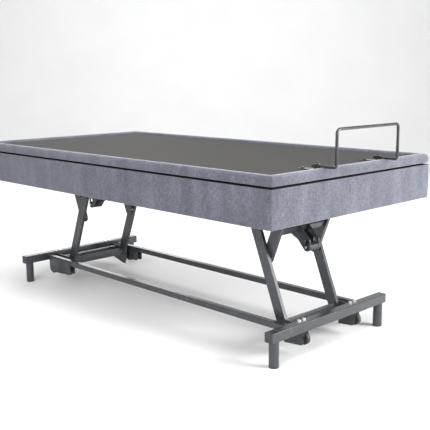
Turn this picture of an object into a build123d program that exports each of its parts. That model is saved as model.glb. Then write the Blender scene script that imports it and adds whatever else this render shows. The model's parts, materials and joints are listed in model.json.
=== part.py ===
"""Adjustable bed base with a high-low lift, in millimetres, +Z up.

X runs across the bed, +Y points to the head end. The floor is Z = 0 and the
origin is the middle of the whole object's footprint. Lengths along Y are
measured from the bed's own middle, which the retainer bar at the foot end
pushes a little towards the head.
"""
import os
from math import cos, radians, sin, sqrt, tan

from build123d import *

os.makedirs("parts", exist_ok=True)

# Overall sizes: a twin mattress platform, 38 by 75 inches.
deck_width = 965
deck_length = 1905
deck_top = 717
border_bottom = 684
skirt_top = 677
skirt_bottom = 540

# Mattress retainer bar.
bar_radius = 5.5
bar_reach = 40
bar_half_width = 188
bar_height = 132
bar_axis_z = 723.5
bar_foot = 104
bar_bends = (9, 16, 16, 9)

# Base frame.
beam = 38
beam_wall = 2
beam_length = 708
beam_y = 832
beam_z = 117
rail = 25
rail_x = 215
rail_z = 111.5
post_x = 327
post_radius = 19
glide_height = 4

# Lift linkage: a long leg and a half-length link at each end.
leg_length = 515
leg_angle = 68.6
lift_swing = 56.6
pivot_z = 100
foot_pivot_y = 732
head_pivot_y = 691
arm_depth = 45
arm_thickness = 15
arm_wall = 2
leg_x = 160.5
link_x = 143
pin_radius = 6
running_clearance = 0.05

# Slotted levers that the lift actuators push.
lever_radius = 201
lever_angle = 90.9
lever_pin = 5
link_tube = 25
link_tube_at = 141

# Deck frame.
deck_rail_x = 200.5
deck_rail_width = 25
deck_rail_bottom = 558
deck_tube_bottom = 608
deck_tube = 40
back_mount_y = -190
plain_tube_ys = (-880, -foot_pivot_y, back_mount_y, head_pivot_y, 880)
bearer_ys = (20, 100)
skirt_board = 16
skirt_cover = 6

# Platform sections: calf, thigh, seat and back, split at three hinge lines.
knee_y = -397.5
hip_y = -57.5
waist_y = 192.5
board_bottom = 688
board_top = 704
cloth_top = 709
border_side = 12
border_top_width = 36
board_gap = 5
hip_axis_z = 702
knee_axis_z = 686
hinge_x = 300
section_drop = 100
waist_swing = 60
hip_swing = 35

# Wheels.
foot_wheel_radius = 25
foot_wheel_y = 836
foot_wheel_z = 70
head_wheel_radius = 31
head_wheel_y = 775
head_wheel_z = 66
axle_radius = 4

mid_y = bar_reach / 2
half_length = deck_length / 2
half_width = deck_width / 2
sides = (-1, 1)
ends = (-1, 1)
inner_face = beam_y - beam / 2
leg_cos = cos(radians(leg_angle))
leg_sin = sin(radians(leg_angle))
deck_pivot_z = pivot_z + leg_length * leg_sin
pivot_y = {-1: -foot_pivot_y, 1: head_pivot_y}
tight = 0.2


# ---- planes and small helpers

def side_plane(x):
    """Local axes are world Y and Z; the normal points to +X."""
    return Plane(origin=(x, mid_y, 0), x_dir=(0, 1, 0), z_dir=(1, 0, 0))


def cross_plane(y):
    """Local axes are world X and Z; the normal points to the foot end."""
    return Plane(origin=(0, mid_y + y, 0), x_dir=(1, 0, 0), z_dir=(0, -1, 0))


def level_plane(z):
    """Local axes are world X and Y; the normal points up."""
    return Plane(origin=(0, mid_y, z), x_dir=(1, 0, 0), z_dir=(0, 0, 1))


def save(builder, label):
    builder.part.label = label
    export_step(builder.part, f"parts/{label}.step")


def tube_section(width, height, wall, corner=2.0):
    """Hollow rectangle with rounded outer corners, drawn where it stands."""
    RectangleRounded(width, height, corner)
    Rectangle(width - 2 * wall, height - 2 * wall, mode=Mode.SUBTRACT)


def disc(centre, x_from, x_to, radius, mode=Mode.ADD):
    """Round bar along X between two X positions, centred at (y, z)."""
    with BuildSketch(side_plane(min(x_from, x_to))) as profile:
        with Locations(centre):
            Circle(radius)
    extrude(profile.sketch, amount=abs(x_to - x_from), mode=mode)


def hexagon(centre, x_from, x_to, across):
    """Hexagonal head or nut along X."""
    with BuildSketch(side_plane(min(x_from, x_to))) as profile:
        with Locations(centre):
            RegularPolygon(across / 2, 6, major_radius=False)
    extrude(profile.sketch, amount=abs(x_to - x_from))


def hull_plate(circles, x_from, thickness):
    """Flat plate whose outline is stretched round the given circles."""
    with BuildSketch(side_plane(x_from)) as profile:
        for y, z, radius in circles:
            with Locations((y, z)):
                Circle(radius)
        make_hull()
    extrude(profile.sketch, amount=thickness)


def slot_cut(start, end, radius, x_from, x_to):
    """Cuts a round-ended slot between two centres through all plates."""
    run = (end[0] - start[0], end[1] - start[1])
    length = sqrt(run[0] ** 2 + run[1] ** 2)
    plane = Plane(
        origin=(x_from, mid_y + start[0], start[1]),
        x_dir=(0, run[0], run[1]),
        z_dir=(1, 0, 0),
    )
    with BuildSketch(plane) as profile:
        with Locations((length / 2, 0)):
            SlotCenterToCenter(length, 2 * radius)
    extrude(profile.sketch, amount=x_to - x_from, mode=Mode.SUBTRACT)


# ---- points of the lift linkage, as (y, z) pairs

def inward(end):
    """Direction along Y from an end of the bed towards its middle."""
    return -end


def along_leg(end, distance):
    return (
        pivot_y[end] + inward(end) * distance * leg_cos,
        pivot_z + distance * leg_sin,
    )


def along_link(end, distance):
    """Point on the link, measured down from its pivot on the deck."""
    return (
        pivot_y[end] + inward(end) * distance * leg_cos,
        deck_pivot_z - distance * leg_sin,
    )


def lever_point(end, radius):
    return (
        pivot_y[end] + inward(end) * radius * cos(radians(lever_angle)),
        deck_pivot_z - radius * sin(radians(lever_angle)),
    )


# ---- base frame

def make_base_frame():
    cross_half = leg_x + 9.5
    cross_height = 52
    cross_y = 765
    cross_z = 92
    with BuildPart() as base_beams:
        for end in ends:
            with BuildSketch(side_plane(-beam_length / 2)):
                with Locations((end * beam_y, beam_z)):
                    tube_section(beam, beam, beam_wall, 3)
            extrude(amount=beam_length)
        with BuildSketch(side_plane(-cross_half)):
            with Locations((cross_y, cross_z)):
                tube_section(rail, cross_height, beam_wall)
        extrude(amount=2 * cross_half)
    save(base_beams, "base_beams")

    with BuildPart() as base_rails:
        with BuildSketch(cross_plane(0)):
            with Locations((-rail_x, rail_z), (rail_x, rail_z)):
                tube_section(rail, rail, beam_wall)
        extrude(amount=inner_face, both=True)
    save(base_rails, "base_rails")

    cap_plate = 2
    cap_plug = 12
    with BuildPart() as beam_end_caps:
        for side in sides:
            for end in ends:
                with BuildSketch(side_plane(side * beam_length / 2)):
                    with Locations((end * beam_y, beam_z)):
                        RectangleRounded(beam, beam, 3)
                extrude(amount=side * cap_plate)
                with BuildSketch(side_plane(side * beam_length / 2)):
                    with Locations((end * beam_y, beam_z)):
                        bore = beam - 2 * beam_wall - 2 * tight
                        Rectangle(bore, bore)
                extrude(amount=-side * cap_plug)
    save(beam_end_caps, "beam_end_caps")


def make_floor_posts():
    post_spots = [(side * post_x, end * beam_y) for side in sides for end in ends]
    post_wall = 2
    with BuildPart() as floor_posts:
        with BuildSketch(level_plane(glide_height)):
            with Locations(*post_spots):
                Circle(post_radius)
                Circle(post_radius - post_wall, mode=Mode.SUBTRACT)
        extrude(amount=beam_z - beam / 2 - glide_height)
    save(floor_posts, "floor_posts")

    glide_plug = 14
    with BuildPart() as floor_glides:
        with BuildSketch(level_plane(0)):
            with Locations(*post_spots):
                Circle(post_radius)
        extrude(amount=glide_height)
        chamfer(floor_glides.edges().group_by(Axis.Z)[0], 1)
        with BuildSketch(level_plane(glide_height)):
            with Locations(*post_spots):
                Circle(post_radius - post_wall - tight)
        extrude(amount=glide_plug)
    save(floor_glides, "floor_glides")


def foot_cheek(end, inner_limit, x_from, thickness):
    """Side plate of a foot bracket, round at its lower outer corner."""
    outer = beam_y + 14
    corner = 20
    low = 42
    under = beam_z - beam / 2
    bulge = corner * (1 - sqrt(0.5))
    with BuildSketch(side_plane(x_from)) as profile:
        with BuildLine():
            Line((end * outer, under), (end * outer, low + corner))
            ThreePointArc(
                (end * outer, low + corner),
                (end * (outer - bulge), low + bulge),
                (end * (outer - corner), low),
            )
            if inner_limit < foot_pivot_y:
                Polyline(
                    (end * (outer - corner), low),
                    (end * (inner_limit + 39), 36),
                    (end * inner_limit, 84),
                    (end * inner_limit, 118),
                    (end * (inner_limit + 6), 124),
                    (end * inner_face, 124),
                    (end * inner_face, under),
                    (end * outer, under),
                )
            else:
                Polyline(
                    (end * (outer - corner), low),
                    (end * inner_limit, 37),
                    (end * inner_limit, under),
                    (end * outer, under),
                )
        make_face()
    extrude(profile.sketch, amount=thickness)


def make_leg_brackets():
    plate = 4
    outer_x = leg_x + 10
    inner_x = leg_x - 13
    web_y = inner_face - 9
    hole = pin_radius + running_clearance
    foot = -1
    with BuildPart() as foot_leg_brackets:
        for side in sides:
            outer_from = outer_x if side > 0 else -outer_x - plate
            inner_from = inner_x if side > 0 else -inner_x - plate
            foot_cheek(foot, foot_pivot_y - 20, outer_from, plate)
            foot_cheek(foot, foot_pivot_y + 32, inner_from, plate)
            with BuildSketch(level_plane(55)):
                with Locations((side * (inner_x + outer_x + plate) / 2, foot * web_y)):
                    Rectangle(outer_x - inner_x + plate, plate)
            extrude(amount=beam_z - beam / 2 - 55)
            near, far = side * (inner_x - 5), side * (outer_x + 9)
            disc((foot * foot_pivot_y, pivot_z), near, far, hole, Mode.SUBTRACT)
            wheel_hole = axle_radius + running_clearance
            disc((foot * foot_wheel_y, foot_wheel_z), near, far, wheel_hole, Mode.SUBTRACT)
    save(foot_leg_brackets, "foot_leg_brackets")

    with BuildPart() as head_leg_brackets:
        for side in sides:
            outer_from = outer_x if side > 0 else -outer_x - plate
            with BuildSketch(side_plane(outer_from)):
                with BuildLine():
                    Polyline(
                        (inner_face, 124),
                        (inner_face, 62),
                        (head_pivot_y + 80, 50),
                        (head_pivot_y + 9, 30),
                        (head_pivot_y - 7, 30),
                        (head_pivot_y - 23, 85),
                        (head_pivot_y - 21, 116),
                        (head_pivot_y - 11, 124),
                        close=True,
                    )
                make_face()
            extrude(amount=plate)
            with BuildSketch(level_plane(beam_z - beam / 2 + 1)):
                flange = outer_x - inner_x + plate
                with Locations((side * (inner_x + outer_x + plate) / 2, inner_face - plate / 2)):
                    Rectangle(flange, plate)
            extrude(amount=34)
            near, far = side * (outer_x - 2), side * (outer_x + 9)
            disc((head_pivot_y, pivot_z), near, far, hole, Mode.SUBTRACT)
    save(head_leg_brackets, "head_leg_brackets")

    head = 19
    with BuildPart() as base_bolts:
        for side in sides:
            for end in ends:
                centre = (pivot_y[end], pivot_z)
                disc(centre, side * (leg_x - 10), side * (outer_x + plate), pin_radius)
                hexagon(centre, side * (outer_x + plate), side * (outer_x + plate + 7), head)
                for step in (-14, 14):
                    with BuildSketch(level_plane(beam_z + beam / 2)):
                        with Locations((side * (leg_x + step), end * (inner_face + 9))):
                            RegularPolygon(6.5, 6, major_radius=False)
                    extrude(amount=5)
    save(base_bolts, "base_bolts")


def make_head_wheel_housings():
    plate = 3
    inner_end = 612
    outer_end = 797
    low = 44
    corner = 22
    bulge = corner * (1 - sqrt(0.5))
    with BuildPart() as head_wheel_housings:
        for side in sides:
            for face in (rail_x - rail / 2 - plate, rail_x + rail / 2):
                x_from = face if side > 0 else -face - plate
                with BuildSketch(side_plane(x_from)):
                    with BuildLine():
                        Line((outer_end, rail_z + 9), (outer_end, low + corner))
                        ThreePointArc(
                            (outer_end, low + corner),
                            (outer_end - bulge, low + bulge),
                            (outer_end - corner, low),
                        )
                        Polyline(
                            (outer_end - corner, low),
                            (inner_end + 8, low + 8),
                            (inner_end, low + 16),
                            (inner_end, rail_z + 9),
                            (outer_end, rail_z + 9),
                        )
                    make_face()
                extrude(amount=plate)
                hole = axle_radius + running_clearance
                centre = (head_wheel_y, head_wheel_z)
                disc(centre, x_from - 1, x_from + plate + 1, hole, Mode.SUBTRACT)
    save(head_wheel_housings, "head_wheel_housings")


def make_wheel(label, x, y, z, radius, width):
    """Moulded transport wheel with a rounded tread and dished faces."""
    with BuildPart() as wheel:
        disc((y, z), x - width / 2, x + width / 2, radius)
        rims = wheel.edges().filter_by(GeomType.CIRCLE)
        fillet(rims, 3)
        for side in sides:
            face = x + side * width / 2
            with BuildSketch(side_plane(face)):
                with Locations((y, z)):
                    Circle(radius - 7)
                    Circle(9, mode=Mode.SUBTRACT)
            extrude(amount=-side * 3, mode=Mode.SUBTRACT)
        disc((y, z), x - width, x + width, axle_radius + running_clearance, Mode.SUBTRACT)
    save(wheel, label)


def make_wheels():
    wheel_width = 16
    for side, name in ((-1, "left"), (1, "right")):
        foot_x = side * (leg_x + 0.5)
        make_wheel(f"foot_{name}_wheel", foot_x, -foot_wheel_y, foot_wheel_z, foot_wheel_radius, wheel_width)
        head_x = side * rail_x
        head_width = wheel_width + 4
        make_wheel(f"head_{name}_wheel", head_x, head_wheel_y, head_wheel_z, head_wheel_radius, head_width)
    with BuildPart() as wheel_axles:
        for side in sides:
            near = side * (leg_x - 15)
            far = side * (leg_x + 16)
            disc((-foot_wheel_y, foot_wheel_z), near, far, axle_radius)
            disc((-foot_wheel_y, foot_wheel_z), far, far + side * 3, axle_radius + 3)
            near = side * (rail_x - rail / 2 - 5)
            far = side * (rail_x + rail / 2 + 3)
            disc((head_wheel_y, head_wheel_z), near, far, axle_radius)
            disc((head_wheel_y, head_wheel_z), far, far + side * 3, axle_radius + 3)
    save(wheel_axles, "wheel_axles")


# ---- lift legs and links

def rounded_arm(start, end_point, x, holes):
    """Rectangular tube with round ends between two (y, z) centres."""
    run = (end_point[0] - start[0], end_point[1] - start[1])
    length = sqrt(run[0] ** 2 + run[1] ** 2)
    plane = Plane(
        origin=(x - arm_thickness / 2, mid_y + start[0], start[1]),
        x_dir=(0, run[0], run[1]),
        z_dir=(1, 0, 0),
    )
    with BuildSketch(plane) as profile:
        with Locations((length / 2, 0)):
            SlotCenterToCenter(length, arm_depth)
    extrude(profile.sketch, amount=arm_thickness)
    core = Plane(
        origin=(x, mid_y + start[0], start[1]),
        x_dir=(1, 0, 0),
        z_dir=(0, run[0], run[1]),
    ).offset(-arm_depth)
    with BuildSketch(core) as profile:
        Rectangle(arm_thickness - 2 * arm_wall, arm_depth - 2 * arm_wall)
    extrude(profile.sketch, amount=length + 2 * arm_depth, mode=Mode.SUBTRACT)
    for centre, radius in holes:
        disc(centre, x - arm_thickness, x + arm_thickness, radius, Mode.SUBTRACT)


def tilted_tube(centre, run, width, depth, wall, half_span):
    """Hollow bar along X whose section is turned to lie along an arm."""
    plane = Plane(
        origin=(-half_span, mid_y + centre[0], centre[1]),
        x_dir=(0, run[0], run[1]),
        z_dir=(1, 0, 0),
    )
    with BuildSketch(plane) as profile:
        tube_section(width, depth, wall)
    extrude(profile.sketch, amount=2 * half_span)


def make_leg_frame(end, name):
    top = along_leg(end, leg_length)
    middle = along_leg(end, leg_length / 2)
    bottom = along_leg(end, 0)
    free = pin_radius + running_clearance
    stub = 5
    holes = ((bottom, free), (middle, free), (top, stub + running_clearance))
    with BuildPart() as leg_bars:
        for side in sides:
            rounded_arm(bottom, top, side * leg_x, holes)
    save(leg_bars, f"{name}_leg_bars")

    run = (inward(end) * leg_cos, leg_sin)
    half_span = leg_x - arm_thickness / 2
    with BuildPart() as cross_tube:
        tilted_tube(bottom, run, 28, 25, 2.5, half_span)
    save(cross_tube, f"{name}_leg_cross_tube")

    roller_radius = 15
    roller_from = leg_x + 11
    with BuildPart() as rollers:
        for side in sides:
            disc(top, side * (leg_x - 5), side * roller_from, stub)
            disc(top, side * roller_from, side * (roller_from + 13), roller_radius)
    save(rollers, f"{name}_track_rollers")


def make_link_frame(end, name):
    top = along_link(end, 0)
    bottom = along_link(end, leg_length / 2)
    with BuildPart() as link_bars:
        for side in sides:
            rounded_arm(top, bottom, side * link_x, ((top, pin_radius + running_clearance),))
            disc(bottom, side * (link_x - 7), side * (leg_x + 9), pin_radius)
    save(link_bars, f"{name}_link_bars")

    run = (inward(end) * leg_cos, -leg_sin)
    tube_centre = along_link(end, link_tube_at)
    shortest = lever_radius * cos(radians(lift_swing / 2))
    slot_radius = lever_pin + 3.6
    plate = 5
    plate_gap = 24
    with BuildPart() as lift_lever:
        tilted_tube(tube_centre, run, link_tube, link_tube, 2, link_x - arm_thickness / 2)
        for x_from in (-plate_gap - plate, plate_gap):
            circles = (
                (*tube_centre, 22),
                (*lever_point(end, shortest), 17),
                (*lever_point(end, lever_radius), 17),
            )
            hull_plate(circles, x_from, plate)
        reach = plate_gap + 2 * plate
        inner = lever_point(end, shortest - 1)
        outer = lever_point(end, lever_radius + 1)
        slot_cut(inner, outer, slot_radius, -reach, reach)
    save(lift_lever, f"{name}_lift_lever")


# ---- actuators

def axis_plane(x, start, run, distance):
    """Plane across an actuator's axis, at a distance from its rod end."""
    return Plane(
        origin=(x, mid_y + start[0], start[1]),
        x_dir=(1, 0, 0),
        z_dir=(0, run[0], run[1]),
    ).offset(distance)


def actuator_rod(x, start, run, radius, length, hub_width, label):
    """Rod with a cross hub and the pin that rides in the slots."""
    with BuildPart() as rod:
        with BuildSketch(axis_plane(x, start, run, 0)):
            Circle(radius)
        extrude(amount=length)
        disc(start, x - hub_width / 2, x + hub_width / 2, radius + 3)
        reach = hub_width / 2 + 11
        disc(start, x - reach, x + reach, lever_pin)
    save(rod, label)


lift_run = {}
lift_start = {}
for lift_end in ends:
    rise = radians(90 - lever_angle + lift_swing / 2)
    lift_run[lift_end] = (inward(lift_end) * cos(rise), sin(rise))
    lift_start[lift_end] = lever_point(lift_end, lever_radius)
waist_throw = section_drop * tan(radians(waist_swing / 2))
hip_throw = section_drop * tan(radians(hip_swing / 2))
waist_rod_start = (waist_y - waist_throw, hip_axis_z - section_drop)
hip_rod_start = (hip_y + hip_throw, hip_axis_z - section_drop)
section_lever_x = 75
body_front = 215
section_front = 37
tube_run = 150
gear_run = 60
lug = 16
lift_rod = 14
section_rod = 9

# x, rod end, direction, rod radius, distance to the housing, motor offset
actuators = (
    (0, lift_start[-1], lift_run[-1], lift_rod, body_front, (0, 50)),
    (0, lift_start[1], lift_run[1], lift_rod, body_front, (0, -50)),
    (section_lever_x, waist_rod_start, (-1, 0), section_rod, section_front, (50, 0)),
    (-section_lever_x, hip_rod_start, (1, 0), section_rod, section_front, (-50, 0)),
)


def tail_pin(actuator):
    """Point (y, z) of the pin at the fixed end of an actuator."""
    x, start, run, rod, front, motor = actuator
    tail = front + tube_run + gear_run + lug / 2
    return (start[0] + run[0] * tail, start[1] + run[1] * tail)


lift_mount_ys = [tail_pin(actuator)[0] for actuator in actuators[:2]]


def make_actuators():
    bore_clearance = 0.3
    tube_outer = 20
    with BuildPart() as actuator_tubes:
        for x, start, run, rod, front, motor in actuators:
            with BuildSketch(axis_plane(x, start, run, front)):
                Circle(tube_outer)
                Circle(rod + bore_clearance, mode=Mode.SUBTRACT)
            extrude(amount=tube_run)
    save(actuator_tubes, "actuator_tubes")

    motor_radius = 21
    motor_length = 105
    back_wall = 4
    with BuildPart() as actuator_motors:
        for x, start, run, rod, front, motor in actuators:
            gear_from = front + tube_run
            with BuildSketch(axis_plane(x, start, run, gear_from)):
                with Locations((motor[0] / 2, motor[1] / 2)):
                    wide = 46 + abs(motor[0])
                    tall = 46 + abs(motor[1])
                    RectangleRounded(wide, tall, 12)
            extrude(amount=gear_run)
            with BuildSketch(axis_plane(x, start, run, gear_from)):
                Circle(rod + bore_clearance)
            extrude(amount=gear_run - back_wall, mode=Mode.SUBTRACT)
            with BuildSketch(axis_plane(x, start, run, gear_from)):
                with Locations(motor):
                    Circle(motor_radius)
            extrude(amount=-motor_length)
            with BuildSketch(axis_plane(x, start, run, gear_from + gear_run)):
                Rectangle(14, 24)
            extrude(amount=lug)
    save(actuator_motors, "actuator_motors")

    half_tube = deck_tube / 2
    section_mount_faces = (back_mount_y + half_tube, lift_mount_ys[1] - half_tube)
    plate = 4
    width = 18

    def bracket(x, pin_at, arm_centre, arm_y, arm_z):
        for x_from in (x - 8 - plate, x + 8):
            with BuildSketch(side_plane(x_from)) as profile:
                with Locations(pin_at):
                    Circle(7)
                with Locations(arm_centre):
                    Rectangle(arm_y, arm_z)
            extrude(profile.sketch, amount=plate)
        disc(pin_at, x - 8, x - 7, 4)
        disc(pin_at, x + 7, x + 8, 4)

    with BuildPart() as actuator_brackets:
        for actuator in actuators[:2]:
            pin_at = tail_pin(actuator)
            rise = deck_tube_bottom - pin_at[1]
            bracket(actuator[0], pin_at, (pin_at[0], pin_at[1] + rise / 2), width, rise)
        for actuator, face_y in zip(actuators[2:], section_mount_faces):
            pin_at = tail_pin(actuator)
            centre = ((pin_at[0] + face_y) / 2, pin_at[1])
            bracket(actuator[0], pin_at, centre, abs(face_y - pin_at[0]), width)
    save(actuator_brackets, "actuator_brackets")

    names = ("foot_lift_rod", "head_lift_rod", "back_rod", "knee_rod")
    stored_strokes = (0, 0, 2 * waist_throw, 2 * hip_throw)
    hubs = (44, 44, 28, 28)
    for actuator, label, stored, hub in zip(actuators, names, stored_strokes, hubs):
        x, start, run, rod, front, motor = actuator
        actuator_rod(x, start, run, rod, front + stored + 12, hub, label)


# ---- deck frame and skirt

def make_deck_frame():
    with BuildPart() as deck_rails:
        rail_height = deck_tube_bottom - deck_rail_bottom
        with BuildSketch(cross_plane(0)):
            middle = deck_rail_bottom + rail_height / 2
            with Locations((-deck_rail_x, middle), (deck_rail_x, middle)):
                tube_section(deck_rail_width, rail_height, 2)
        extrude(amount=895, both=True)
    save(deck_rails, "deck_rails")

    track_clear = 15.5
    flange = 2.5
    track_inner = leg_x + 9.5
    track_outer = deck_rail_x - deck_rail_width / 2
    with BuildPart() as roller_tracks:
        for end in ends:
            start = pivot_y[end] + inward(end) * 160
            stop = pivot_y[end] + inward(end) * 530
            for side in sides:
                with BuildSketch(cross_plane(max(start, stop))):
                    with Locations((side * (track_inner + track_outer) / 2, deck_pivot_z)):
                        Rectangle(track_outer - track_inner, 2 * (track_clear + flange))
                    with Locations((side * (track_inner + track_outer - flange) / 2, deck_pivot_z)):
                        Rectangle(track_outer - track_inner - flange, 2 * track_clear, mode=Mode.SUBTRACT)
                extrude(amount=abs(stop - start))
    save(roller_tracks, "roller_tracks")

    inner_half = half_width - skirt_cover - skirt_board
    with BuildPart() as deck_cross_tubes:
        for y in (*plain_tube_ys, *lift_mount_ys):
            with BuildSketch(side_plane(-inner_half)):
                with Locations((y, deck_tube_bottom + deck_tube / 2)):
                    tube_section(deck_tube, deck_tube, 2, 3)
            extrude(amount=2 * inner_half)
        for y in bearer_ys:
            with BuildSketch(side_plane(-inner_half)):
                with Locations((y, board_bottom - 19)):
                    tube_section(25, 38, 2)
            extrude(amount=2 * inner_half)
    save(deck_cross_tubes, "deck_cross_tubes")

    cheek = 4
    cheek_width = 50
    inner_cheek = link_x - 14
    outer_cheek = link_x + 9.5
    with BuildPart() as link_brackets:
        for side in sides:
            for end in ends:
                centre = (pivot_y[end], deck_pivot_z)
                for face in (inner_cheek, outer_cheek):
                    x_from = face if side > 0 else -face - cheek
                    with BuildSketch(side_plane(x_from)):
                        with Locations(centre):
                            Circle(18)
                        with Locations((centre[0], (centre[1] + deck_tube_bottom) / 2)):
                            Rectangle(36, deck_tube_bottom - centre[1])
                    extrude(amount=cheek)
                with BuildSketch(level_plane(deck_tube_bottom - cheek)):
                    with Locations((side * (inner_cheek + outer_cheek + cheek) / 2, centre[0])):
                        Rectangle(outer_cheek - inner_cheek + cheek, cheek_width)
                extrude(amount=cheek)
                near, far = side * (inner_cheek - 2), side * (outer_cheek + 6)
                disc(centre, near, far, pin_radius + running_clearance, Mode.SUBTRACT)
    save(link_brackets, "link_brackets")

    with BuildPart() as link_pivot_bolts:
        for side in sides:
            for end in ends:
                centre = (pivot_y[end], deck_pivot_z)
                near = side * inner_cheek
                far = side * (outer_cheek + cheek)
                disc(centre, near, far, pin_radius)
                hexagon(centre, near, near - side * 7, 19)
                hexagon(centre, far, far + side * 5, 19)
    save(link_pivot_bolts, "link_pivot_bolts")

    with BuildPart() as control_box:
        with BuildSketch(level_plane(board_bottom - 38 - 46)):
            with Locations((300, 60)):
                RectangleRounded(120, 150, 10)
        extrude(amount=46)
        fillet(control_box.edges().group_by(Axis.Z)[0], 5)
    save(control_box, "control_box")


def make_skirt():
    outer_half = half_width - skirt_cover
    outer_length = half_length - skirt_cover
    board_low = skirt_bottom + 5
    board_high = skirt_top - 2
    with BuildPart() as skirt_boards:
        for side in sides:
            with BuildSketch(level_plane(board_low)):
                with Locations((side * (outer_half - skirt_board / 2), 0)):
                    Rectangle(skirt_board, 2 * outer_length)
            extrude(amount=board_high - board_low)
        for end in ends:
            with BuildSketch(level_plane(board_low)):
                with Locations((0, end * (outer_length - skirt_board / 2))):
                    Rectangle(2 * (outer_half - skirt_board) - tight, skirt_board)
            extrude(amount=board_high - board_low)
    save(skirt_boards, "skirt_boards")

    with BuildPart() as skirt_covers:
        for side in sides:
            with BuildSketch(level_plane(skirt_bottom)):
                with Locations((side * (half_width - skirt_cover / 2), 0)):
                    RectangleRounded(skirt_cover, deck_length, 2.5)
            extrude(amount=skirt_top - skirt_bottom)
        for end in ends:
            with BuildSketch(level_plane(skirt_bottom)):
                with Locations((0, end * (half_length - skirt_cover / 2))):
                    Rectangle(2 * outer_half - 2 * tight, skirt_cover)
            extrude(amount=skirt_top - skirt_bottom)
    save(skirt_covers, "skirt_covers")


# ---- platform sections

def section_board(low_y, high_y, label, pockets):
    """Plywood board with shallow pockets for the hinge leaves on its top."""
    half = half_width - border_side
    leaf = 42
    with BuildPart() as board:
        with BuildSketch(level_plane(board_bottom)):
            with Locations((0, (low_y + high_y) / 2)):
                Rectangle(2 * half, high_y - low_y)
        extrude(amount=board_top - board_bottom)
        for hinge_line, direction in pockets:
            for side in sides:
                with BuildSketch(level_plane(board_top - 2)):
                    with Locations((side * hinge_x, hinge_line + direction * leaf / 2)):
                        Rectangle(61, leaf)
                extrude(amount=2, mode=Mode.SUBTRACT)
    save(board, label)


def section_cloth(low_y, high_y, label):
    """Non-slip top cloth over the middle of a section."""
    half = half_width - border_top_width - tight
    with BuildPart() as cloth:
        with BuildSketch(level_plane(board_top + tight)):
            with Locations((0, (low_y + high_y) / 2)):
                Rectangle(2 * half, high_y - low_y)
        extrude(amount=cloth_top - board_top - tight)
    save(cloth, label)


def section_border(low_y, high_y, closed, label):
    """Padded border, L-shaped in section, closed across one end or open."""
    corner = 14
    roll = 12
    height = deck_top - border_bottom
    pocket_half = half_width - border_side + tight
    opening_half = half_width - border_top_width
    with BuildPart() as border:
        with BuildSketch(level_plane(border_bottom)):
            with Locations((0, (low_y + high_y) / 2)):
                Rectangle(deck_width, high_y - low_y)
        extrude(amount=height)
        if closed:
            uprights = border.edges().filter_by(Axis.Z).sort_by(Axis.Y)
            fillet(uprights[:2] if closed < 0 else uprights[-2:], corner)
        rim = border.faces().sort_by(Axis.Z)[-1].edges()
        joint_ends = rim.filter_by(Axis.X).sort_by(Axis.Y)
        if closed < 0:
            joint_ends = joint_ends[-1:]
        elif closed > 0:
            joint_ends = joint_ends[:1]
        fillet([edge for edge in rim if edge not in joint_ends], roll)
        inset = border_side - tight
        pocket_low = low_y + (inset if closed < 0 else -1)
        pocket_high = high_y - (inset if closed > 0 else -1)
        with BuildSketch(level_plane(border_bottom)):
            with Locations((0, (pocket_low + pocket_high) / 2)):
                Rectangle(2 * pocket_half, pocket_high - pocket_low)
        extrude(amount=board_top + tight - border_bottom, mode=Mode.SUBTRACT)
        opening_low = low_y + (border_top_width if closed < 0 else -1)
        opening_high = high_y - (border_top_width if closed > 0 else -1)
        with BuildSketch(level_plane(border_bottom)):
            with Locations((0, (opening_low + opening_high) / 2)):
                Rectangle(2 * opening_half, opening_high - opening_low)
        extrude(amount=height + 1, mode=Mode.SUBTRACT)
        for hinge_line, swing in ((waist_y, waist_swing), (hip_y, hip_swing)):
            spread = (deck_top - hip_axis_z + 3) * tan(radians(swing / 2)) + 1
            with BuildSketch(side_plane(-half_width - 1)):
                with BuildLine():
                    Polyline(
                        (hinge_line, hip_axis_z - 2),
                        (hinge_line + spread, deck_top + 1),
                        (hinge_line - spread, deck_top + 1),
                        close=True,
                    )
                make_face()
            extrude(amount=deck_width + 2, mode=Mode.SUBTRACT)
    save(border, label)


def hinge_leaf(line_y, axis_z, leaf_z, direction, owns_pin):
    """Leaf with its share of the knuckles; one side also carries the pin."""
    knuckle = 4
    knuckle_length = 20
    pin = 2
    for side in sides:
        centre_x = side * hinge_x
        starts = (-1.5, 0.5) if owns_pin else (-0.5,)
        for step in starts:
            x_from = centre_x + step * knuckle_length + (0.25 if not owns_pin else 0)
            width = knuckle_length - (0.5 if not owns_pin else 0)
            with BuildSketch(side_plane(x_from)) as profile:
                with Locations((line_y, axis_z)):
                    Circle(knuckle)
                with Locations((line_y + direction * 20, leaf_z + 1)):
                    Rectangle(40, 2)
                with Locations((line_y, axis_z)):
                    Circle(pin + running_clearance, mode=Mode.SUBTRACT)
            extrude(profile.sketch, amount=width)
        with BuildSketch(side_plane(centre_x - 1.5 * knuckle_length)) as profile:
            with Locations((line_y + direction * 25, leaf_z + 1)):
                Rectangle(30, 2)
        extrude(profile.sketch, amount=3 * knuckle_length)
        if owns_pin:
            reach = 1.5 * knuckle_length
            disc((line_y, axis_z), centre_x - reach, centre_x + reach, pin)


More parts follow.
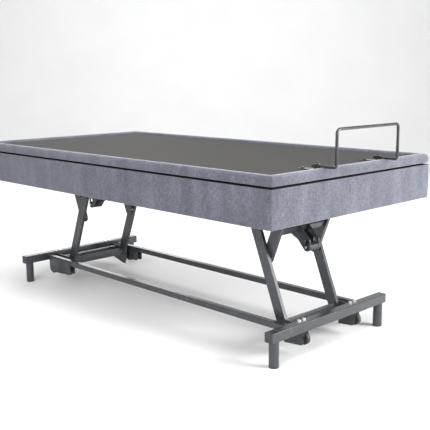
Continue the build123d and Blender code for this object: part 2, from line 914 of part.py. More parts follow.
def make_hinges():
    top_leaf = board_top - 2
    under_leaf = board_bottom - 2
    with BuildPart() as seat_hinge_leaves:
        hinge_leaf(waist_y, hip_axis_z, top_leaf, -1, True)
        hinge_leaf(hip_y, hip_axis_z, top_leaf, 1, True)
    save(seat_hinge_leaves, "seat_hinge_leaves")

    with BuildPart() as back_hinge_leaves:
        hinge_leaf(waist_y, hip_axis_z, top_leaf, 1, False)
    save(back_hinge_leaves, "back_hinge_leaves")

    with BuildPart() as thigh_hinge_leaves:
        hinge_leaf(hip_y, hip_axis_z, top_leaf, -1, False)
        hinge_leaf(knee_y, knee_axis_z, under_leaf, 1, True)
    save(thigh_hinge_leaves, "thigh_hinge_leaves")

    with BuildPart() as calf_hinge_leaves:
        hinge_leaf(knee_y, knee_axis_z, under_leaf, -1, False)
    save(calf_hinge_leaves, "calf_hinge_leaves")


def section_lever(line_y, direction, swing, x, label):
    """Pair of slotted plates under a section that its actuator pushes."""
    plate = 5
    gap = 16
    half_swing = radians(swing / 2)
    far_radius = section_drop / cos(half_swing)

    def slot_point(radius):
        return (
            line_y - direction * radius * sin(half_swing),
            hip_axis_z - radius * cos(half_swing),
        )

    with BuildPart() as lever:
        for x_from in (x - gap - plate, x + gap):
            circles = (
                (*slot_point(section_drop), 12),
                (*slot_point(far_radius), 12),
                (line_y + direction * 32, 674, 9),
                (line_y + direction * 60, 676, 7),
            )
            hull_plate(circles, x_from, plate)
        with BuildSketch(level_plane(board_bottom - 4)):
            with Locations((x, line_y + direction * 92)):
                Rectangle(2 * (gap + plate) + 24, 116)
        extrude(amount=4)
        reach = gap + plate + 1
        slot_cut(
            slot_point(section_drop - 1),
            slot_point(far_radius + 1),
            lever_pin + 2.6,
            x - reach,
            x + reach,
        )
    save(lever, label)


def make_sections():
    closed_inset = border_side
    cloth_inset = border_top_width + tight
    seam = 1
    knee_seam = 2
    foot_edge = -half_length
    head_edge = half_length

    section_board(foot_edge + closed_inset, knee_y - board_gap, "calf_board", ())
    section_board(knee_y + board_gap, hip_y - board_gap, "thigh_board", ((hip_y, -1),))
    section_board(hip_y + board_gap, waist_y - board_gap, "seat_board", ((hip_y, 1), (waist_y, -1)))
    section_board(waist_y + board_gap, head_edge - closed_inset, "back_board", ((waist_y, 1),))

    section_cloth(foot_edge + cloth_inset, knee_y - board_gap, "calf_cloth")
    section_cloth(knee_y + board_gap, hip_y - board_gap, "thigh_cloth")
    section_cloth(hip_y + board_gap, waist_y - board_gap, "seat_cloth")
    section_cloth(waist_y + board_gap, head_edge - cloth_inset, "back_cloth")

    section_border(foot_edge, knee_y - knee_seam, -1, "calf_border")
    section_border(knee_y + knee_seam, hip_y - seam, 0, "thigh_borders")
    section_border(hip_y + seam, waist_y - seam, 0, "seat_borders")
    section_border(waist_y + seam, head_edge, 1, "back_border")

    section_lever(waist_y, 1, waist_swing, section_lever_x, "back_lever")
    section_lever(hip_y, -1, hip_swing, -section_lever_x, "thigh_lever")


# ---- retainer bar

def make_retainer():
    outer_y = mid_y - half_length - bar_reach + bar_radius
    inner_y = outer_y + bar_foot
    top_z = bar_axis_z + bar_height
    corners = (
        (-bar_half_width, inner_y, bar_axis_z),
        (-bar_half_width, outer_y, bar_axis_z),
        (-bar_half_width, outer_y, top_z),
        (bar_half_width, outer_y, top_z),
        (bar_half_width, outer_y, bar_axis_z),
        (bar_half_width, inner_y, bar_axis_z),
    )
    with BuildPart() as retainer_bar:
        with BuildLine() as path:
            FilletPolyline(*corners, radius=bar_bends)
        start = Plane(origin=corners[0], x_dir=(1, 0, 0), z_dir=(0, -1, 0))
        with BuildSketch(start):
            Circle(bar_radius)
        sweep(path=path.line)
    save(retainer_bar, "retainer_bar")

    plate_low = -half_length + border_top_width + 1
    plate_length = 88
    plate = 3
    collar = 20
    collar_y = plate_low + collar / 2
    collar_top = bar_axis_z + bar_radius + 2.5
    with BuildPart() as retainer_clips:
        for side in sides:
            with BuildSketch(level_plane(cloth_top)):
                with Locations((side * bar_half_width, plate_low + plate_length / 2)):
                    RectangleRounded(34, plate_length, 6)
            extrude(amount=plate)
            with BuildSketch(level_plane(cloth_top + plate)):
                with Locations((side * bar_half_width, collar_y)):
                    RectangleRounded(20, collar, 3)
            extrude(amount=collar_top - cloth_top - plate)
            with BuildSketch(cross_plane(plate_low)):
                with Locations((side * bar_half_width, bar_axis_z)):
                    Circle(bar_radius + running_clearance)
            extrude(amount=70, both=True, mode=Mode.SUBTRACT)
    save(retainer_clips, "retainer_clips")

    bolt_y = plate_low + plate_length - 12
    with BuildPart() as clip_knobs:
        for side in sides:
            with BuildSketch(level_plane(collar_top)):
                with Locations((side * bar_half_width, collar_y)):
                    Circle(3)
            extrude(amount=9)
            with BuildSketch(level_plane(collar_top + 3)):
                with Locations((side * bar_half_width, collar_y)):
                    SlotOverall(16, 6)
            extrude(amount=5)
            with BuildSketch(level_plane(cloth_top + plate)):
                with Locations((side * bar_half_width, bolt_y)):
                    RegularPolygon(6, 6, major_radius=False)
            extrude(amount=4.5)
    save(clip_knobs, "clip_knobs")


make_base_frame()
make_floor_posts()
make_leg_brackets()
make_head_wheel_housings()
make_wheels()
for lift_end, lift_name in ((-1, "foot"), (1, "head")):
    make_leg_frame(lift_end, lift_name)
    make_link_frame(lift_end, lift_name)
make_actuators()
make_deck_frame()
make_skirt()
make_sections()
make_hinges()
make_retainer()
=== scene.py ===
"""Looks for the adjustable bed base: upholstery, finishes, studio and camera."""
import json
import math

import bmesh
import bpy
from mathutils import Euler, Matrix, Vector, noise


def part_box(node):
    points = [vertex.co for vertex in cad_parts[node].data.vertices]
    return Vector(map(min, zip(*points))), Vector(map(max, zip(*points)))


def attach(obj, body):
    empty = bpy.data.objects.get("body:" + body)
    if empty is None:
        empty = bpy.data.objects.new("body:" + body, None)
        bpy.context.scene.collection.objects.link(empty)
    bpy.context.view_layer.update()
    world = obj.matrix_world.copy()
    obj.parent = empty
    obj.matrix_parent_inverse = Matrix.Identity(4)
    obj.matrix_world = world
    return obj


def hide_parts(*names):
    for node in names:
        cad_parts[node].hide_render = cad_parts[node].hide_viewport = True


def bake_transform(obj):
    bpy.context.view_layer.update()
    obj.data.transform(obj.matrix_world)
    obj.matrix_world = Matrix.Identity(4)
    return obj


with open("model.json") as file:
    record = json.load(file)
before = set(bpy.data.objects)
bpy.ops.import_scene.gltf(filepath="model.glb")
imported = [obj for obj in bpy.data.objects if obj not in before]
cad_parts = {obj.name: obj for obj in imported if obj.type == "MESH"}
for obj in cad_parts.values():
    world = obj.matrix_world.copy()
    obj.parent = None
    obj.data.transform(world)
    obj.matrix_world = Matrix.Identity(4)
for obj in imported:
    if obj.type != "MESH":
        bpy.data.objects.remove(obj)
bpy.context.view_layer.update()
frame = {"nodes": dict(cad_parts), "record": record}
nodes = frame["nodes"]

MM = 0.001

# Upholstery sizes, in metres.
BORDER_WIDTH = 42 * MM
BORDER_HEIGHT = 36 * MM
BORDER_CORNER = 13 * MM
SKIRT_BOARD = 22 * MM
SKIRT_LIP = 6 * MM
SKIRT_CORNER = 7 * MM
LEAST_CORNER = 2.5 * MM
CLOTH_THICKNESS = 3.5 * MM
CLOTH_TUCK = 1.5 * MM

# How finely the upholstery is divided.
STATION_STEP = 22 * MM
CORNER_STEPS = 7

# The mix node's sockets for colours; its others are for numbers and vectors.
MIX_FACTOR = 0
MIX_FIRST = 6
MIX_SECOND = 7
MIX_RESULT = 2

skirt_low, skirt_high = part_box("skirt_covers")
back_low, back_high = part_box("back_border")
seat_low, seat_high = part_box("seat_board")
thigh_low, thigh_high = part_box("thigh_board")
cloth_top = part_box("seat_cloth")[1].z
board_top = seat_high.z
border_bottom = back_low.z
half_width = back_high.x
foot_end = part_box("calf_border")[0].y
head_end = back_high.y
waist_y = (seat_high.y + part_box("back_board")[0].y) / 2
hip_y = (thigh_high.y + seat_low.y) / 2
knee_y = (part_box("calf_board")[1].y + thigh_low.y) / 2
mid_seat = (waist_y + hip_y) / 2
mid_thigh = (hip_y + knee_y) / 2


# ---- mesh helpers

def mesh_object(name, points, faces):
    """Smooth-shaded object whose faces all point outward."""
    mesh = bpy.data.meshes.new(name)
    mesh.from_pydata(points, [], faces)
    mesh.update()
    tidy = bmesh.new()
    tidy.from_mesh(mesh)
    bmesh.ops.recalc_face_normals(tidy, faces=tidy.faces)
    tidy.to_mesh(mesh)
    tidy.free()
    for polygon in mesh.polygons:
        polygon.use_smooth = True
    made = bpy.data.objects.new(name, mesh)
    bpy.context.scene.collection.objects.link(made)
    return made


def softness(point, size, amount):
    """Gentle unevenness of padded cloth at a place."""
    return amount * noise.noise(Vector(point) / size)


def sweep_ring(name, rings, closed_path):
    """Joins equal rings of points into one closed skin, capped at its ends."""
    count = len(rings[0])
    points = [point for ring in rings for point in ring]
    faces = []
    last = len(rings) if closed_path else len(rings) - 1
    for step in range(last):
        here = step * count
        there = ((step + 1) % len(rings)) * count
        for index in range(count):
            after = (index + 1) % count
            faces.append((here + index, here + after, there + after, there + index))
    if not closed_path:
        faces.append(tuple(range(count)))
        faces.append(tuple(range(len(points) - count, len(points))))
    made = mesh_object(name, points, faces)
    if not closed_path:
        for polygon in made.data.polygons:
            if len(polygon.vertices) > 4:
                polygon.use_smooth = False
        made.data.set_sharp_from_angle(angle=math.radians(70))
    return made


def steps_between(start, end):
    """Even shares from 0 to 1, about one station step apart."""
    count = max(2, round(abs(end - start) / STATION_STEP))
    return [index / count for index in range(count + 1)]


def corner_point(side_x, end_y, sign_x, sign_y, inset, corner, turn):
    """Point on a rounded corner at an inset; turn 0 is the side, 1 the end."""
    radius = max(corner - inset, LEAST_CORNER)
    centre_x = side_x - sign_x * (inset + radius)
    centre_y = end_y - sign_y * (inset + radius)
    angle = turn * math.pi / 2
    return (
        centre_x + sign_x * radius * math.cos(angle),
        centre_y + sign_y * radius * math.sin(angle),
    )


# ---- border round the platform

def border_profile():
    """Pairs of inset and height: the lower edge, the padded crown, the tucked part."""
    base = border_bottom
    crest = base + BORDER_HEIGHT
    over_board = board_top + 0.8 * MM
    edge = [
        (1.6 * MM, base),
        (0.2 * MM, base + 3 * MM),
        (-0.7 * MM, base + 9 * MM),
    ]
    crown = [
        (-0.5 * MM, base + 15 * MM),
        (0.4 * MM, base + 21 * MM),
        (2.6 * MM, base + 27 * MM),
        (6.5 * MM, base + 31.5 * MM),
        (12 * MM, base + 34.5 * MM),
        (19 * MM, crest),
        (26 * MM, crest - 0.4 * MM),
        (33 * MM, crest - 2.6 * MM),
        (38 * MM, crest - 6.5 * MM),
        (BORDER_WIDTH - 1 * MM, crest - 10.5 * MM),
    ]
    tucked = [
        (BORDER_WIDTH, cloth_top - 2.5 * MM),
        (BORDER_WIDTH - 1 * MM, over_board),
        (20 * MM, over_board),
        (10.8 * MM, over_board),
        (10.6 * MM, base + 8 * MM),
        (10.4 * MM, base + 0.3 * MM),
    ]
    return edge, crown, tucked


def border_ring(place):
    """One section ring; place gives the plan position for an inset."""
    edge, crown, tucked = border_profile()
    ring = [(*place(inset), height) for inset, height in edge]
    for inset, height in crown:
        x, y = place(inset)
        lift = softness((x, y, height), 45 * MM, 0.9 * MM)
        # The finer unevenness is read elsewhere, so that the two don't line up.
        lift += softness((x + 3, y, height), 12 * MM, 0.25 * MM)
        x, y = place(inset - lift)
        ring.append((x, y, height + 0.6 * lift))
    ring += [(*place(inset), height) for inset, height in tucked]
    return ring


def end_border(name, split_y, end_y):
    """U-shaped border round one end of the platform, from split to split."""
    sign_y = 1 if end_y > split_y else -1
    stop = end_y - sign_y * BORDER_CORNER

    def on_corner(sign_x, inset, turn):
        side_x = sign_x * half_width
        return corner_point(side_x, end_y, sign_x, sign_y, inset, BORDER_CORNER, turn)

    def side_rings(sign_x):
        """Rings from the split along one side and round its corner."""
        rings = []
        for share in steps_between(split_y, stop):

            def along(inset, share=share):
                x, y = on_corner(sign_x, inset, 0)
                return x, split_y + share * (y - split_y)

            rings.append(border_ring(along))
        for step in range(1, CORNER_STEPS):

            def around(inset, turn=step / CORNER_STEPS):
                return on_corner(sign_x, inset, turn)

            rings.append(border_ring(around))
        return rings

    end_rings = []
    for share in steps_between(-half_width, half_width):

        def across(inset, share=share):
            x, y = on_corner(-1, inset, 1)
            return x * (1 - 2 * share), y

        end_rings.append(border_ring(across))
    rings = side_rings(-1) + end_rings + side_rings(1)[::-1]
    return sweep_ring(name, rings, closed_path=False)


def side_border(name, sign_x, low_y, high_y):
    """Straight border along one side."""
    rings = []
    for share in steps_between(low_y, high_y):

        def along(inset, share=share):
            return sign_x * (half_width - inset), low_y + share * (high_y - low_y)

        rings.append(border_ring(along))
    return sweep_ring(name, rings, closed_path=False)


# ---- top cloth

def top_panel(name, low_y, high_y):
    """Thin dark cloth over the boards, tucked against the border."""
    half = half_width - BORDER_WIDTH + CLOTH_TUCK
    edge_fade = 30 * MM
    edge_drop = 0.9 * MM
    across = steps_between(-half, half)
    along = steps_between(low_y, high_y)
    top, under = [], []
    for share_y in along:
        y = low_y + share_y * (high_y - low_y)
        for share_x in across:
            x = -half + share_x * 2 * half
            edge = min(half - abs(x), edge_fade) / edge_fade
            height = cloth_top - edge_drop * (1 - edge) + softness((x, y, 0), 90 * MM, 0.35 * MM)
            top.append((x, y, height))
            under.append((x, y, height - CLOTH_THICKNESS))
    width = len(across)
    offset = len(top)
    faces = []
    for row in range(len(along) - 1):
        for column in range(width - 1):
            corner = row * width + column
            quad = (corner, corner + 1, corner + width + 1, corner + width)
            faces.append(quad)
            faces.append(tuple(offset + index for index in reversed(quad)))
    edges = [list(range(width)), list(range(offset - width, offset))]
    edges.append([row * width for row in range(len(along))])
    edges.append([row * width + width - 1 for row in range(len(along))])
    for edge in edges:
        for first, second in zip(edge, edge[1:]):
            faces.append((first, second, offset + second, offset + first))
    made = mesh_object(name, top + under, faces)
    made.data.set_sharp_from_angle(angle=math.radians(60))
    return made


# ---- skirt

def skirt_profile():
    """Section of the cloth round the skirt board: its face, its lining, its hem."""
    low = skirt_low.z
    high = skirt_high.z
    rise = high - low
    lip = high + SKIRT_LIP
    face_bow = 1.1 * MM
    face_parts = 10
    face = [(3.2 * MM, low), (0.9 * MM, low + 1 * MM), (0, low + 4 * MM)]
    for step in range(1, face_parts):
        share = step / face_parts
        face.append((-face_bow * math.sin(math.pi * share), low + rise * share))
    face += [(0, high - 4 * MM), (0.9 * MM, high - 1 * MM), (3.2 * MM, high)]
    lining = [
        (SKIRT_BOARD - 5 * MM, high),
        (SKIRT_BOARD - 5 * MM, lip),
        (SKIRT_BOARD - 1 * MM, lip),
        (SKIRT_BOARD - 1 * MM, high - 1.4 * MM),
        (5.2 * MM, high - 1.6 * MM),
    ]
    hem = [
        (5.2 * MM, low + 4.6 * MM),
        (SKIRT_BOARD + 0.4 * MM, low + 4.6 * MM),
        (SKIRT_BOARD + 0.4 * MM, low + 30 * MM),
        (SKIRT_BOARD + 1.8 * MM, low + 30 * MM),
        (SKIRT_BOARD + 1.8 * MM, low + 2 * MM),
        (SKIRT_BOARD, low),
    ]
    return face, lining, hem


def make_skirt():
    """Skirt all round, with True for each of its faces that is lining, painted near-black as the shade
    in the gap under the border.
    """
    face, lining, hem = skirt_profile()
    profile = face + lining + hem
    side_x = half_width
    ends = {-1: skirt_low.y, 1: skirt_high.y}
    rings = []

    def ring(place):
        made = []
        for index, (inset, height) in enumerate(profile):
            x, y = place(inset)
            if 1 < index < len(face) - 1:
                bulge = softness((x, y, height), 70 * MM, 0.8 * MM)
                bulge += softness((x, y, height + 2), 20 * MM, 0.25 * MM)
                x, y = place(inset - bulge)
            made.append((x, y, height))
        return made

    corners = [(-1, -1), (-1, 1), (1, 1), (1, -1)]
    for number, (sign_x, sign_y) in enumerate(corners):
        next_x, next_y = corners[(number + 1) % 4]
        runs_along = sign_x == next_x
        turns = [step / CORNER_STEPS for step in range(CORNER_STEPS + 1)]
        if runs_along:
            turns = turns[::-1]
        for turn in turns:

            def around(inset, turn=turn):
                corner = (sign_x * side_x, ends[sign_y], sign_x, sign_y)
                return corner_point(*corner, inset, SKIRT_CORNER, turn)

            rings.append(ring(around))
        length = abs(ends[1] - ends[-1]) if runs_along else 2 * side_x
        shares = steps_between(0, length)[1:-1]
        for share in shares:

            def along(inset, share=share):
                turn = 0 if runs_along else 1
                near = (sign_x * side_x, ends[sign_y], sign_x, sign_y)
                far = (next_x * side_x, ends[next_y], next_x, next_y)
                start = corner_point(*near, inset, SKIRT_CORNER, turn)
                stop = corner_point(*far, inset, SKIRT_CORNER, turn)
                return (
                    start[0] + share * (stop[0] - start[0]),
                    start[1] + share * (stop[1] - start[1]),
                )

            rings.append(ring(along))
    made = sweep_ring("skirt_upholstery", rings, closed_path=True)
    made.data.set_sharp_from_angle(angle=math.radians(60))
    # The lining, painted near-black as shade for the gap under the border, starts at the last rounded
    # step of the face's top edge.
    shade_painted_span = range(len(face) - 2, len(face) + len(lining))
    return made, [number % len(profile) in shade_painted_span for number in range(len(made.data.polygons))]


# ---- materials

def new_material(name):
    """Material with its node tree and its main shader."""
    material = bpy.data.materials.new(name)
    material.use_nodes = True
    tree = material.node_tree
    shader = tree.nodes["Principled BSDF"]
    return material, tree, shader


def object_coordinates(tree, stretch=(1, 1, 1)):
    place = tree.nodes.new("ShaderNodeTexCoord")
    mapping = tree.nodes.new("ShaderNodeMapping")
    mapping.inputs["Scale"].default_value = stretch
    tree.links.new(place.outputs["Object"], mapping.inputs["Vector"])
    return mapping.outputs["Vector"]


def noise_value(tree, vector, scale, detail, roughness=0.55):
    texture = tree.nodes.new("ShaderNodeTexNoise")
    texture.inputs["Scale"].default_value = scale
    texture.inputs["Detail"].default_value = detail
    texture.inputs["Roughness"].default_value = roughness
    tree.links.new(vector, texture.inputs["Vector"])
    return texture.outputs["Fac"]


def ramp(tree, value, stops):
    """Colour for a value; stops holds pairs of a position and a colour."""
    node = tree.nodes.new("ShaderNodeValToRGB")
    elements = node.color_ramp.elements
    while len(elements) < len(stops):
        elements.new(0.5)
    for element, (position, colour) in zip(elements, stops):
        element.position = position
        element.color = (*colour, 1)
    tree.links.new(value, node.inputs["Fac"])
    return node.outputs["Color"]


def mix_colours(tree, first, second, factor, mode="MIX"):
    node = tree.nodes.new("ShaderNodeMix")
    node.data_type = "RGBA"
    node.blend_type = mode
    node.inputs[MIX_FACTOR].default_value = factor
    tree.links.new(first, node.inputs[MIX_FIRST])
    tree.links.new(second, node.inputs[MIX_SECOND])
    return node.outputs[MIX_RESULT]


def rescale(tree, value, low, high):
    node = tree.nodes.new("ShaderNodeMapRange")
    node.inputs["To Min"].default_value = low
    node.inputs["To Max"].default_value = high
    tree.links.new(value, node.inputs["Value"])
    return node.outputs["Result"]


def add_bump(tree, shader, heights):
    """Stacks bumps; heights holds pairs of a value and its depth in metres."""
    previous = None
    for value, depth in heights:
        bump = tree.nodes.new("ShaderNodeBump")
        bump.inputs["Strength"].default_value = 1.0
        bump.inputs["Distance"].default_value = depth
        tree.links.new(value, bump.inputs["Height"])
        if previous is not None:
            tree.links.new(previous, bump.inputs["Normal"])
        previous = bump.outputs["Normal"]
    tree.links.new(previous, shader.inputs["Normal"])


def heather_fabric():
    """Blue-grey chenille with crossed slubs and a fine, uneven yarn."""
    material, tree, shader = new_material("heather_fabric")
    plain = object_coordinates(tree)
    blotch = noise_value(tree, object_coordinates(tree, (1, 1, 0.35)), 14, 5)
    upright = noise_value(tree, object_coordinates(tree, (1, 1, 0.22)), 380, 3, 0.65)
    level = noise_value(tree, object_coordinates(tree, (0.2, 0.2, 1)), 300, 3, 0.65)
    yarn = noise_value(tree, plain, 900, 2, 0.6)
    base = ramp(tree, blotch, [(0.35, (0.092, 0.095, 0.118)), (0.65, (0.135, 0.138, 0.169))])
    columns = ramp(tree, upright, [(0.4, (0.52, 0.53, 0.57)), (0.6, (1.1, 1.1, 1.1))])
    rows = ramp(tree, level, [(0.4, (0.62, 0.63, 0.65)), (0.6, (1.1, 1.1, 1.1))])
    yarns = ramp(tree, yarn, [(0.38, (0.65, 0.65, 0.67)), (0.62, (1.25, 1.25, 1.25))])
    colour = mix_colours(tree, base, columns, 0.65, "MULTIPLY")
    colour = mix_colours(tree, colour, rows, 0.6, "MULTIPLY")
    colour = mix_colours(tree, colour, yarns, 0.7, "MULTIPLY")
    tree.links.new(colour, shader.inputs["Base Color"])
    tree.links.new(rescale(tree, yarn, 0.82, 1.0), shader.inputs["Roughness"])
    shader.inputs["Sheen Weight"].default_value = 0.45
    shader.inputs["Sheen Roughness"].default_value = 0.4
    shader.inputs["Specular IOR Level"].default_value = 0.2
    add_bump(tree, shader, [(upright, 0.45 * MM), (level, 0.3 * MM), (yarn, 0.3 * MM)])
    return material


def platform_cloth():
    """Dark, close-woven non-slip cloth."""
    material, tree, shader = new_material("platform_cloth")
    plain = object_coordinates(tree)
    weave_x = tree.nodes.new("ShaderNodeTexWave")
    weave_y = tree.nodes.new("ShaderNodeTexWave")
    weave_y.bands_direction = "Y"
    for weave in (weave_x, weave_y):
        weave.inputs["Scale"].default_value = 210
        weave.inputs["Distortion"].default_value = 0.6
        tree.links.new(plain, weave.inputs["Vector"])
    cross = mix_colours(tree, weave_x.outputs["Color"], weave_y.outputs["Color"], 0.5)
    patch = noise_value(tree, plain, 5, 5)
    base = ramp(tree, patch, [(0.3, (0.032, 0.031, 0.03)), (0.7, (0.045, 0.043, 0.041))])
    fleck = noise_value(tree, plain, 700, 2)
    speckle = ramp(tree, fleck, [(0.35, (0.75, 0.75, 0.75)), (0.65, (1.2, 1.2, 1.2))])
    colour = mix_colours(tree, base, speckle, 0.8, "MULTIPLY")
    tree.links.new(colour, shader.inputs["Base Color"])
    tree.links.new(rescale(tree, patch, 0.75, 0.9), shader.inputs["Roughness"])
    shader.inputs["Specular IOR Level"].default_value = 0.28
    add_bump(tree, shader, [(cross, 0.12 * MM)])
    return material


def gap_shade_cloth():
    """Near-black cloth for the skirt's lining: painted shade, so the gap under the border shows as a
    dark line.
    """
    material, tree, shader = new_material("gap_shade_cloth")
    thread = noise_value(tree, object_coordinates(tree), 500, 2)
    tone = ramp(tree, thread, [(0.3, (0.008, 0.008, 0.009)), (0.7, (0.014, 0.014, 0.015))])
    tree.links.new(tone, shader.inputs["Base Color"])
    shader.inputs["Roughness"].default_value = 0.9
    shader.inputs["Specular IOR Level"].default_value = 0.1
    add_bump(tree, shader, [(thread, 0.1 * MM)])
    return material


def coated_metal(name, low, high, rough):
    """Powder-coated or painted steel with a fine orange-peel surface."""
    material, tree, shader = new_material(name)
    plain = object_coordinates(tree)
    patch = noise_value(tree, plain, 14, 5)
    peel = noise_value(tree, plain, 900, 2)
    tree.links.new(ramp(tree, patch, [(0.3, low), (0.7, high)]), shader.inputs["Base Color"])
    tree.links.new(rescale(tree, patch, rough - 0.03, rough + 0.04), shader.inputs["Roughness"])
    add_bump(tree, shader, [(peel, 0.05 * MM)])
    return material


def plain_metal(name, colour, rough, stretch):
    """Plated or polished metal with faint turning marks."""
    material, tree, shader = new_material(name)
    marks = noise_value(tree, object_coordinates(tree, stretch), 400, 3)
    darker = tuple(0.82 * part for part in colour)
    tree.links.new(ramp(tree, marks, [(0.35, darker), (0.65, colour)]), shader.inputs["Base Color"])
    tree.links.new(rescale(tree, marks, rough, rough + 0.14), shader.inputs["Roughness"])
    shader.inputs["Metallic"].default_value = 1.0
    add_bump(tree, shader, [(marks, 0.02 * MM)])
    return material


def moulded(name, low, high, rough, grain):
    """Moulded plastic or rubber with a fine grain."""
    material, tree, shader = new_material(name)
    plain = object_coordinates(tree)
    patch = noise_value(tree, plain, 30, 4)
    pores = noise_value(tree, plain, grain, 2)
    tree.links.new(ramp(tree, patch, [(0.3, low), (0.7, high)]), shader.inputs["Base Color"])
    tree.links.new(rescale(tree, pores, rough - 0.08, rough + 0.1), shader.inputs["Roughness"])
    add_bump(tree, shader, [(pores, 0.08 * MM)])
    return material


def shade_black_board():
    """Board painted near-black as shade, so the gap under the border and the underside read dark; its
    grain just shows.
    """
    material, tree, shader = new_material("shade_black_board")
    grain = noise_value(tree, object_coordinates(tree, (1, 0.06, 8)), 90, 6, 0.6)
    fibre = noise_value(tree, object_coordinates(tree, (1, 0.04, 1)), 600, 2)
    # The near-black base is painted shade; the grain on it is the board's own.
    base = ramp(tree, grain, [(0.3, (0.02, 0.018, 0.016)), (0.7, (0.042, 0.038, 0.034))])
    streaks = ramp(tree, fibre, [(0.35, (0.8, 0.78, 0.75)), (0.6, (1.0, 1.0, 1.0))])
    tree.links.new(mix_colours(tree, base, streaks, 0.7, "MULTIPLY"), shader.inputs["Base Color"])
    tree.links.new(rescale(tree, fibre, 0.6, 0.8), shader.inputs["Roughness"])
    add_bump(tree, shader, [(fibre, 0.1 * MM)])
    return material


def dress(made, material):
    """Gives an object its one material."""
    made.data.materials.clear()
    made.data.materials.append(material)


# ---- put the upholstery together

fabric = heather_fabric()
cloth = platform_cloth()


def across_hinge(made):
    """Bakes an object's placement into its mesh."""
    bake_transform(made)


foot_border = end_border("foot_border_upholstery", mid_thigh, foot_end)
head_border = end_border("head_border_upholstery", mid_seat, head_end)
middle_borders = [
    side_border("left_border_upholstery", -1, mid_thigh, mid_seat),
    side_border("right_border_upholstery", 1, mid_thigh, mid_seat),
]
foot_panel = top_panel("foot_top_cloth", foot_end + BORDER_WIDTH - CLOTH_TUCK, mid_thigh)
middle_panel = top_panel("middle_top_cloth", mid_thigh, mid_seat)
head_panel = top_panel("head_top_cloth", mid_seat, head_end - BORDER_WIDTH + CLOTH_TUCK)
skirt, shade_painted_faces = make_skirt()

for made in (foot_border, head_border, skirt, *middle_borders):
    dress(made, fabric)
for made in (foot_panel, middle_panel, head_panel):
    dress(made, cloth)
# The lining is painted near-black: painted shade for the gap under the border.
skirt.data.materials.append(gap_shade_cloth())
for polygon, is_shade_painted in zip(skirt.data.polygons, shade_painted_faces):
    polygon.material_index = int(is_shade_painted)

for made in (foot_border, foot_panel):
    across_hinge(made)
for made in (middle_panel, *middle_borders):
    across_hinge(made)
for made in (head_border, head_panel):
    across_hinge(made)
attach(skirt, "deck")

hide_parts("calf_border")
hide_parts("back_border")
for made in middle_borders:
    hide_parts("thigh_borders", "seat_borders")
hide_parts("calf_cloth")
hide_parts("thigh_cloth", "seat_cloth")
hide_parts("back_cloth")
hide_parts("skirt_covers")

# ---- finishes of the CAD nodes

finishes = {
    "frame_paint": coated_metal("frame_powder_coat", (0.033, 0.035, 0.04), (0.042, 0.045, 0.051), 0.26),
    "bar_black": coated_metal("bar_paint", (0.018, 0.019, 0.021), (0.034, 0.036, 0.039), 0.24),
    "tube_metal": coated_metal("actuator_paint", (0.014, 0.014, 0.015), (0.024, 0.024, 0.026), 0.34),
    "zinc": plain_metal("bright_zinc", (0.74, 0.75, 0.76), 0.28, (1, 1, 1)),
    "rod_chrome": plain_metal("polished_rod", (0.82, 0.82, 0.84), 0.12, (8, 1, 1)),
    "wheel_rubber": moulded("wheel_rubber", (0.012, 0.012, 0.013), (0.022, 0.022, 0.023), 0.55, 500),
    "black_plastic": moulded("black_plastic", (0.018, 0.018, 0.02), (0.03, 0.03, 0.032), 0.5, 800),
    "dark_board": shade_black_board(),
}
for part in frame["record"]["subparts"]:
    finish = finishes.get(part["material_slot"])
    if finish:
        dress(nodes[part["node"]], finish)

# The lift rods' pins are plated where they leave the black hub.
hub_half = 22.5 * MM
for name in ("foot_lift_rod", "head_lift_rod"):
    rod = nodes[name]
    rod.data.materials.append(finishes["zinc"])
    for polygon in rod.data.polygons:
        polygon.material_index = int(abs(polygon.center.x) > hub_half)

# ---- studio

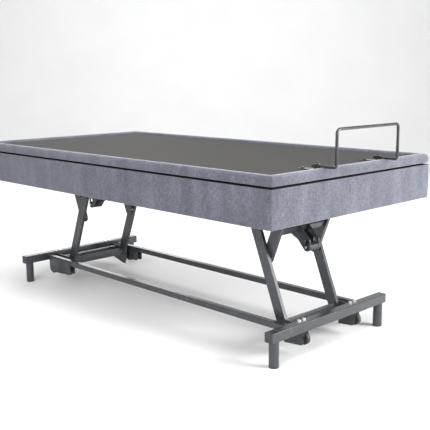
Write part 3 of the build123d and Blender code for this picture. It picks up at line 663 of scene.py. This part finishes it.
def studio_sweep():
    """Pale floor that curves up into a wall behind the bed."""
    half = 14
    front = -9
    wall_start = 5.5
    bend = 3
    bend_steps = 12
    height = 9
    profile = [(front, 0), (wall_start, 0)]
    for step in range(1, bend_steps + 1):
        angle = math.pi / 2 * step / bend_steps
        profile.append((wall_start + bend * math.sin(angle), bend * (1 - math.cos(angle))))
    profile.append((wall_start + bend, height))
    facing = math.radians(44)
    points = []
    for depth, level in profile:
        for across in (-half, half):
            x = across * math.cos(facing) + depth * math.sin(facing)
            y = -across * math.sin(facing) + depth * math.cos(facing)
            points.append((x, y, level))
    faces = [(row, row + 1, row + 3, row + 2) for row in range(0, len(points) - 2, 2)]
    made = mesh_object("studio_floor", points, faces)
    material, tree, shader = new_material("studio_paper")
    tone = noise_value(tree, object_coordinates(tree), 1.5, 2)
    pale = ramp(tree, tone, [(0.3, (0.80, 0.80, 0.80)), (0.7, (0.83, 0.83, 0.83))])
    tree.links.new(pale, shader.inputs["Base Color"])
    shader.inputs["Roughness"].default_value = 0.9
    shader.inputs["Specular IOR Level"].default_value = 0.1
    dress(made, material)


def soft_light(name, place, target, size, power):
    """Square lamp at a place, turned towards its target."""
    lamp = bpy.data.lights.new(name, "AREA")
    lamp.shape = "SQUARE"
    lamp.size = size
    lamp.energy = power
    made = bpy.data.objects.new(name, lamp)
    made.location = place
    made.rotation_euler = (Vector(target) - Vector(place)).to_track_quat("-Z", "Y").to_euler()
    bpy.context.scene.collection.objects.link(made)


def make_studio():
    studio_sweep()
    soft_light("key_light", (2.1, -4.5, 1.8), (0, -0.4, 0.2), 2.6, 430)
    soft_light("top_light", (-0.6, -0.2, 4.6), (0, 0, 0), 4.0, 235)
    soft_light("side_light", (-4.3, -2.0, 2.0), (0, 0, 0.1), 2.2, 175)
    soft_light("back_light", (2.6, 4.4, 2.2), (0, 0.6, 0.4), 2.2, 40)
    soft_light("wall_light", (2.2, 2.2, 5.2), (6.0, 6.0, 2.0), 4.0, 140)
    world = bpy.data.worlds.new("studio_air")
    world.use_nodes = True
    back = world.node_tree.nodes["Background"]
    back.inputs["Color"].default_value = (0.98, 0.985, 1.0, 1)
    back.inputs["Strength"].default_value = 0.34
    bpy.context.scene.world = world
    bpy.context.scene.view_settings.view_transform = "Standard"


def make_camera():
    azimuth = math.radians(44.2)
    pitch = math.radians(10.52)
    camera = bpy.data.cameras.new("photo_camera")
    camera.sensor_width = 36
    camera.lens = 63.7
    camera.clip_end = 60
    made = bpy.data.objects.new("photo_camera", camera)
    made.location = (-2.288, -2.530, 1.043)
    look = Euler((math.pi / 2 - pitch, 0, -azimuth), "XYZ").to_quaternion()
    made.rotation_mode = "QUATERNION"
    made.rotation_quaternion = look @ Euler((0, 0, math.radians(-0.4))).to_quaternion()
    bpy.context.scene.collection.objects.link(made)
    bpy.context.scene.camera = made


make_studio()
make_camera()
